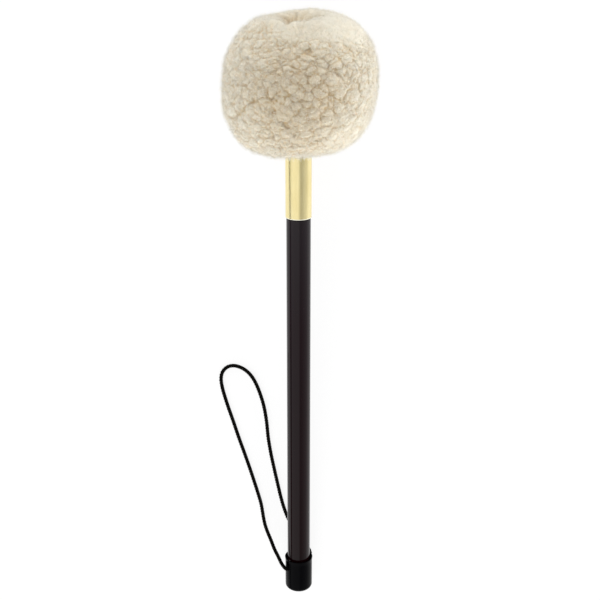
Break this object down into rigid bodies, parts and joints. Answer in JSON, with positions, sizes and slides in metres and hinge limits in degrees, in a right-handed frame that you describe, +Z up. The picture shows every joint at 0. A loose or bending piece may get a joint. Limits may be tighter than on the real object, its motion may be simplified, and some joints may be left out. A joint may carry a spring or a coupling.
{
  "type": "gong mallet",
  "caption": "Gong mallet: a round fleece-covered head on a dark lacquered tube handle, with a foil sleeve, a rubber-like end cap and a wrist cord loop.",
  "frame": {"origin": "on the floor plane, midway along the mallet and on its middle plane, under the mallet without its cord", "axes": "+Y towards the head along the lying handle, +Z up from the surface it lies on, -X the side on which the cord loop lies"},
  "size_m": [0.1046, 0.4088, 0.0961],
  "materials": {
    "fleece": "cream curled pile",
    "string": "waxed thread",
    "felt": "pressed wool felt",
    "core_rubber": "matte",
    "zinc_steel": "zinc plated",
    "hardwood": "bare turned wood",
    "lacquered_tube": "glossy black-brown lacquer",
    "gold_foil": "mirror-bright gold foil on a plastic sleeve",
    "black_vinyl": "glossy soft vinyl",
    "black_braid": "satin braided cord"
  },
  "bodies": {
    "root": {"fleece_cover": "fleece", "top_drawstring": "string", "neck_drawstring": "string", "felt_wrap": "felt", "felt_disc_top": "felt", "felt_disc_bottom": "felt", "core": "core_rubber", "core_washer": "zinc_steel", "core_screw": "zinc_steel", "tip_plug": "hardwood", "handle_tube": "lacquered_tube", "label_sleeve": "gold_foil", "end_cap": "black_vinyl", "wrist_cord": "black_braid", "cord_knot": "black_braid"}
  },
  "joints": []
}
